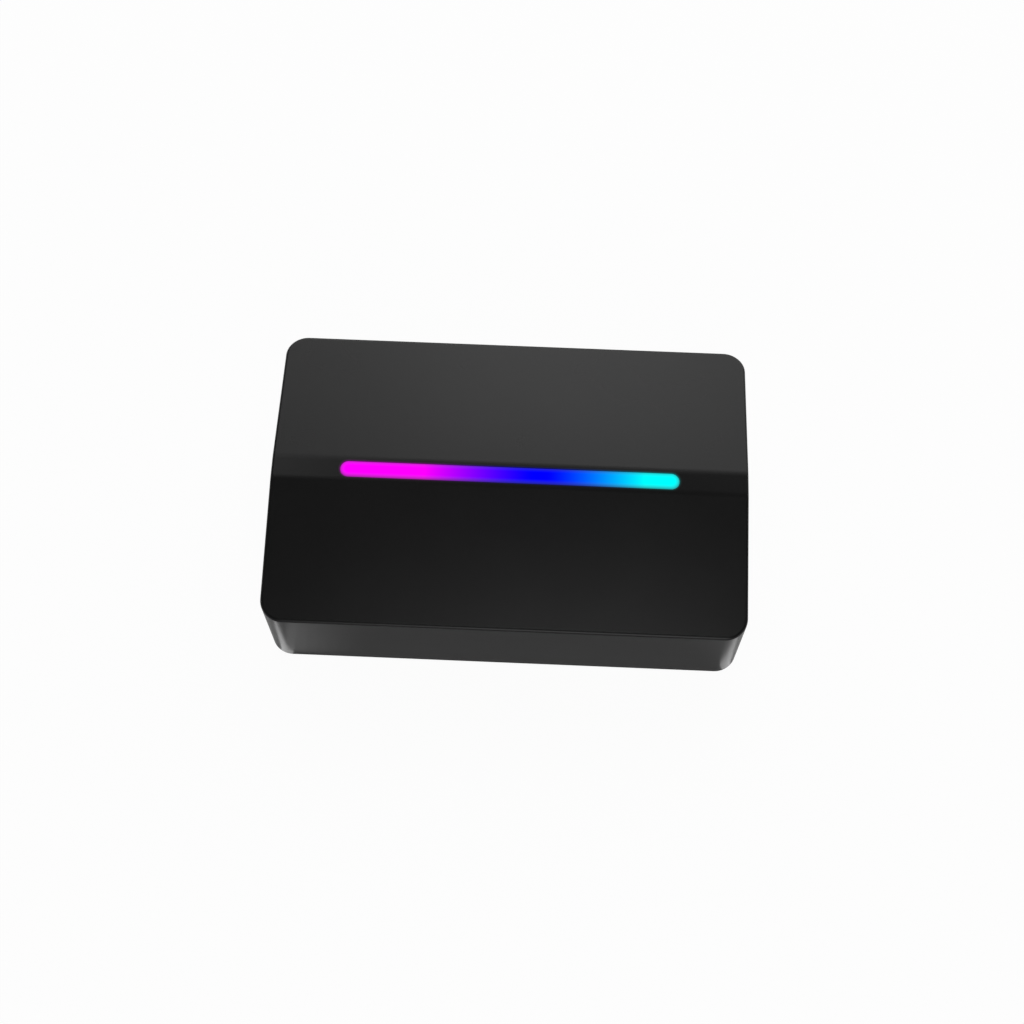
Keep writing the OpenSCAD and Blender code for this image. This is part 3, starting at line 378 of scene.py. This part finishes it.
# Pairs of colours that a finish clouds between or draws with.
CASE_BLACK = {"dark": grey(0.0060), "light": grey(0.0073)}
COVER_BLACK = {"dark": grey(0.012), "light": grey(0.015)}
BUTTON_BLACK = {"dark": grey(0.020), "light": grey(0.026)}
RUBBER_BLACK = {"dark": grey(0.012), "light": grey(0.020)}
NYLON_BLACK = {"dark": grey(0.010), "light": grey(0.016)}
CHIP_BLACK = {"dark": grey(0.012), "light": grey(0.018)}
FERRITE_GREY = {"dark": (0.045, 0.043, 0.041, 1.0), "light": (0.070, 0.066, 0.062, 1.0)}
CERAMIC_TAN = {"dark": (0.30, 0.20, 0.11, 1.0), "light": (0.38, 0.27, 0.16, 1.0)}
SILICONE_BLUE = {"dark": (0.28, 0.34, 0.42, 1.0), "light": (0.33, 0.40, 0.48, 1.0)}
NYLON_IVORY = {"dark": (0.62, 0.57, 0.45, 1.0), "light": (0.68, 0.63, 0.52, 1.0)}
LAMP_WHITE = {"dark": grey(0.70), "light": grey(0.78)}
BLACK_STEEL = {"dark": grey(0.06), "light": grey(0.09)}
STEEL = {"dark": (0.50, 0.49, 0.47, 1.0), "light": (0.62, 0.61, 0.59, 1.0)}
GOLD = {"dark": (0.75, 0.50, 0.16, 1.0), "light": (0.85, 0.60, 0.24, 1.0)}
TIN = {"dark": grey(0.55), "light": grey(0.68)}
ALUMINIUM = {"dark": grey(0.62), "light": grey(0.74)}
BOARD_GREEN = {"mask": (0.004, 0.012, 0.008, 1.0), "track": (0.010, 0.028, 0.018, 1.0)}
BOARD_WHITE = {"mask": grey(0.72), "track": grey(0.64)}
PAD_GOLD = (0.70, 0.62, 0.45, 1.0)
FLAT_CABLE = {"film": grey(0.75), "wire": (0.55, 0.56, 0.58, 1.0)}

# The finish of each material slot: how it is made and its values.
FINISHES = {
    "case_plastic": (
        case_with_painted_spill, dict(CASE_BLACK, rough=0.25, grain=0.25, depth=0.0008, shine=0.2, uneven=0.02),
    ),
    "cover_plastic": (
        moulded, dict(COVER_BLACK, rough=0.5, grain=0.35, depth=0.016, shine=0.25, edge=0.2),
    ),
    "panel_plastic": (
        moulded, dict(CASE_BLACK, rough=0.38, grain=0.2, depth=0.006, shine=0.3, edge=0.15),
    ),
    "button_plastic": (moulded, dict(BUTTON_BLACK, rough=0.35, grain=0.15, depth=0.004, edge=0.1)),
    "light_diffuser": (light_diffuser, {}),
    "foot_rubber": (moulded, dict(RUBBER_BLACK, rough=0.75, grain=0.4, depth=0.03, edge=0.2)),
    "screw_steel": (metal, dict(BLACK_STEEL, rough=0.38, stretch=(1, 1, 6))),
    "socket_steel": (metal, dict(STEEL, rough=0.28, stretch=(1, 12, 1))),
    "socket_insulator": (moulded, dict(NYLON_BLACK, rough=0.45, grain=0.2, depth=0.006, edge=0.06)),
    "contact_gold": (metal, dict(GOLD, rough=0.2, stretch=(1, 8, 1), edge=0.03)),
    "tinned_metal": (metal, dict(TIN, rough=0.3, stretch=(1, 1, 1), grain=0.3)),
    "board_laminate": (laminate, dict(BOARD_GREEN, pad=PAD_GOLD)),
    "lamp_board_laminate": (laminate, dict(BOARD_WHITE, pad=PAD_GOLD)),
    "chip_resin": (moulded, dict(CHIP_BLACK, rough=0.5, grain=0.12, depth=0.006, edge=0.06)),
    "thermal_silicone": (moulded, dict(SILICONE_BLUE, rough=0.7, grain=0.3, depth=0.02, edge=0.1)),
    "sink_aluminium": (metal, dict(ALUMINIUM, rough=0.35, stretch=(1, 20, 1))),
    "can_aluminium": (metal, dict(ALUMINIUM, rough=0.25, stretch=(1, 1, 10))),
    "ferrite": (moulded, dict(FERRITE_GREY, rough=0.6, grain=0.2, depth=0.02, edge=0.1)),
    "capacitor_ceramic": (moulded, dict(CERAMIC_TAN, rough=0.4, grain=0.1, depth=0.004, edge=0.04)),
    "lamp_resin": (moulded, dict(LAMP_WHITE, rough=0.3, grain=0.1, depth=0.003, edge=0.04)),
    "connector_resin": (moulded, dict(NYLON_IVORY, rough=0.4, grain=0.15, depth=0.004, edge=0.05)),
    "cable_film": (ribbon_film, FLAT_CABLE),
}


def smooth_by_angle():
    """Node group that shades smooth, apart from the edges that turn more than its angle."""
    tree = bpy.data.node_groups.new("smooth_by_angle", "GeometryNodeTree")
    tree.interface.new_socket("Geometry", in_out="INPUT", socket_type="NodeSocketGeometry")
    tree.interface.new_socket("Geometry", in_out="OUTPUT", socket_type="NodeSocketGeometry")
    way_in = tree.nodes.new("NodeGroupInput")
    way_out = tree.nodes.new("NodeGroupOutput")
    faces = tree.nodes.new("GeometryNodeSetShadeSmooth")
    edges = tree.nodes.new("GeometryNodeSetShadeSmooth")
    edges.domain = "EDGE"
    turn = tree.nodes.new("GeometryNodeInputMeshEdgeAngle")
    gentle = tree.nodes.new("FunctionNodeCompare")
    gentle.operation = "LESS_EQUAL"
    gentle.inputs["B"].default_value = SMOOTH_ANGLE
    links = tree.links
    links.new(way_in.outputs[0], faces.inputs["Geometry"])
    links.new(faces.outputs["Geometry"], edges.inputs["Geometry"])
    links.new(turn.outputs["Unsigned Angle"], gentle.inputs["A"])
    links.new(gentle.outputs["Result"], edges.inputs["Shade Smooth"])
    links.new(edges.outputs["Geometry"], way_out.inputs[0])
    return tree


def dress(node, group, finish):
    """Gives a CAD node its finish and smooth shading."""
    node.data.materials.clear()
    node.data.materials.append(finish)
    weld = node.modifiers.new("weld", "WELD")
    weld.merge_threshold = WELD_GAP
    smooth = node.modifiers.new("smooth", "NODES")
    smooth.node_group = group
    weighted = node.modifiers.new("weighted", "WEIGHTED_NORMAL")
    weighted.keep_sharp = True


def dress_all():
    """Every CAD node in the finish of its slot."""
    group = smooth_by_angle()
    made = {}
    for part in frame["record"]["subparts"]:
        slot = part["material_slot"]
        if slot not in made:
            make, values = FINISHES[slot]
            made[slot] = make(slot, **values).material
        dress(frame["nodes"][part["node"]], group, made[slot])


def lamp(name, place, turn, width, height, radiance):
    """A rectangular lamp that isn't seen itself."""
    data = bpy.data.lights.new(name, "AREA")
    data.shape = "RECTANGLE"
    data.size = width
    data.size_y = height
    data.energy = radiance * math.pi * width * height
    made = bpy.data.objects.new(name, data)
    made.matrix_world = Matrix.Translation(place) @ turn.to_matrix().to_4x4()
    made.visible_camera = False
    bpy.context.scene.collection.objects.link(made)


def soft_box(name, tilt, azimuth, width, height, radiance):
    """A soft box in a direction from the case, facing it."""
    high = math.radians(tilt)
    around = math.radians(azimuth)
    out = math.sin(high)
    way = Vector((out * math.sin(around), out * math.cos(around), math.cos(high)))
    lamp(name, BOX_AIM + way, way.to_track_quat("Z", "Y"), width, height, radiance)


def reflector(name, x, y, width, depth, turn, radiance):
    """A low strip of light that lies by the floor and faces up."""
    place = Vector((x, y, REFLECTOR_LIFT)) * MM
    face_up = Euler((math.pi, 0, math.radians(turn)))
    lamp(name, place, face_up, width * MM, depth * MM, radiance)


def wall_reflector():
    """Strips of light along the front wall, each one brighter than the last."""
    for number in range(WALL_STRIPS):
        middle = number + 0.5
        x = WALL_STRIPS_START - middle * WALL_STRIP_W
        radiance = WALL_STRIP_BRIGHTEST * (middle / WALL_STRIPS) ** WALL_STRIP_POWER
        reflector(f"wall_reflector_{number}", x, WALL_STRIPS_Y, WALL_STRIP_W, WALL_STRIP_D, 0, radiance)


def lights():
    """Every soft box and reflector."""
    for name, values in SOFT_BOXES.items():
        soft_box(name, *values)
    for name, values in REFLECTORS.items():
        reflector(name, *values)
    wall_reflector()


def room():
    """Plain even light all round, white where the camera sees past the floor."""
    world = bpy.data.worlds.new("room")
    world.use_nodes = True
    shading = Shading(world.node_tree)
    seen = shading.node("LightPath").outputs["Is Camera Ray"]
    level = shading.node("MapRange", {"Value": seen, "To Min": ROOM_LIGHT, "To Max": ROOM_WHITE})
    background = world.node_tree.nodes["Background"]
    background.inputs["Color"].default_value = grey(1.0)
    world.node_tree.links.new(level.outputs["Result"], background.inputs["Strength"])
    bpy.context.scene.world = world


def reflected_white_painted_shade(shading):
    """The floor's share of even white in reflections, which grows with the distance from the case, so that
    a painted shade lies round the case in reflections.
    """
    place = shading.node("NewGeometry").outputs["Position"]
    from_middle = shading.vectors("ABSOLUTE", place)
    past_case = shading.vectors("SUBTRACT", from_middle, (CASE_HALF.x, CASE_HALF.y, 0))
    outside = shading.vectors("MAXIMUM", past_case, (0, 0, 0))
    inputs = {
        "Value": shading.vectors("LENGTH", outside, result="Value"),
        "From Min": FLOOR_CLOSE,
        "From Max": FLOOR_AWAY,
        "To Min": FLOOR_WHITE_CLOSE,
        "To Max": FLOOR_WHITE_AWAY,
    }
    return shading.node("MapRange", inputs, interpolation_type="SMOOTHSTEP").outputs["Result"]


def even_share(shading):
    """The floor's share of even white, for what the camera sees and for what reflections show."""
    path = shading.node("LightPath").outputs
    mirrored = shading.maths("MAXIMUM", path["Is Glossy Ray"], path["Is Transmission Ray"])
    seen = shading.maths("MULTIPLY", path["Is Camera Ray"], FLOOR_WHITE)
    return shading.maths("MULTIPLY_ADD", mirrored, reflected_white_painted_shade(shading), seen)


def floor_finish():
    """White floor: lit by the lamps, with a share of even white, and clear from below."""
    material = bpy.data.materials.new("floor_white")
    material.use_nodes = True
    nodes = material.node_tree.nodes
    nodes.remove(nodes["Principled BSDF"])
    shading = Shading(material.node_tree)
    lit = shading.node("BsdfDiffuse", {"Color": FLOOR_COLOUR}).outputs[0]
    even = shading.node("Emission").outputs[0]
    above = shading.node("MixShader", {0: even_share(shading), 1: lit, 2: even}).outputs[0]
    below = shading.node("BsdfTransparent").outputs[0]
    from_below = shading.node("NewGeometry").outputs["Backfacing"]
    whole = shading.node("MixShader", {0: from_below, 1: above, 2: below}).outputs[0]
    material.node_tree.links.new(whole, nodes["Material Output"].inputs["Surface"])
    return material


def rectangle(half_x, half_y, z):
    """Corners of a level rectangle, anticlockwise from above."""
    return [(-half_x, -half_y, z), (half_x, -half_y, z), (half_x, half_y, z), (-half_x, half_y, z)]


def floor():
    """The floor that the feet stand on, with an opening under the case, and the backdrop round it."""
    points = rectangle(FLOOR_HALF, FLOOR_HALF, 0)
    points += rectangle(CASE_HALF.x - OPENING_INSET, CASE_HALF.y - OPENING_INSET, 0)
    points += rectangle(FLOOR_HALF, FLOOR_HALF, BACKDROP_H)
    faces = []
    for this in range(4):
        after = (this + 1) % 4
        faces.append((this, after, after + 4, this + 4))
        faces.append((after, this, this + 8, after + 8))
    mesh = bpy.data.meshes.new("floor")
    mesh.from_pydata(points, [], faces)
    mesh.materials.append(floor_finish())
    plane = bpy.data.objects.new("floor", mesh)
    plane.location.z = -FLOOR_DROP
    bpy.context.scene.collection.objects.link(plane)


def camera():
    """The photograph's camera."""
    data = bpy.data.cameras.new("camera")
    data.sensor_width = CAMERA_SENSOR
    data.lens = CAMERA_LENS
    data.clip_start = CAMERA_CLIP
    eye = bpy.data.objects.new("camera", data)
    turn = Matrix.Rotation(math.radians(CAMERA_TURN), 4, "Z")
    tilt = Matrix.Rotation(math.radians(CAMERA_TILT), 4, "X")
    roll = Matrix.Rotation(math.radians(CAMERA_ROLL), 4, "Z")
    eye.matrix_world = Matrix.Translation(CAMERA_AT) @ turn @ tilt @ roll
    bpy.context.scene.collection.objects.link(eye)
    bpy.context.scene.camera = eye


dress_all()
room()
lights()
floor()
camera()
bpy.context.scene.view_settings.view_transform = "Standard"
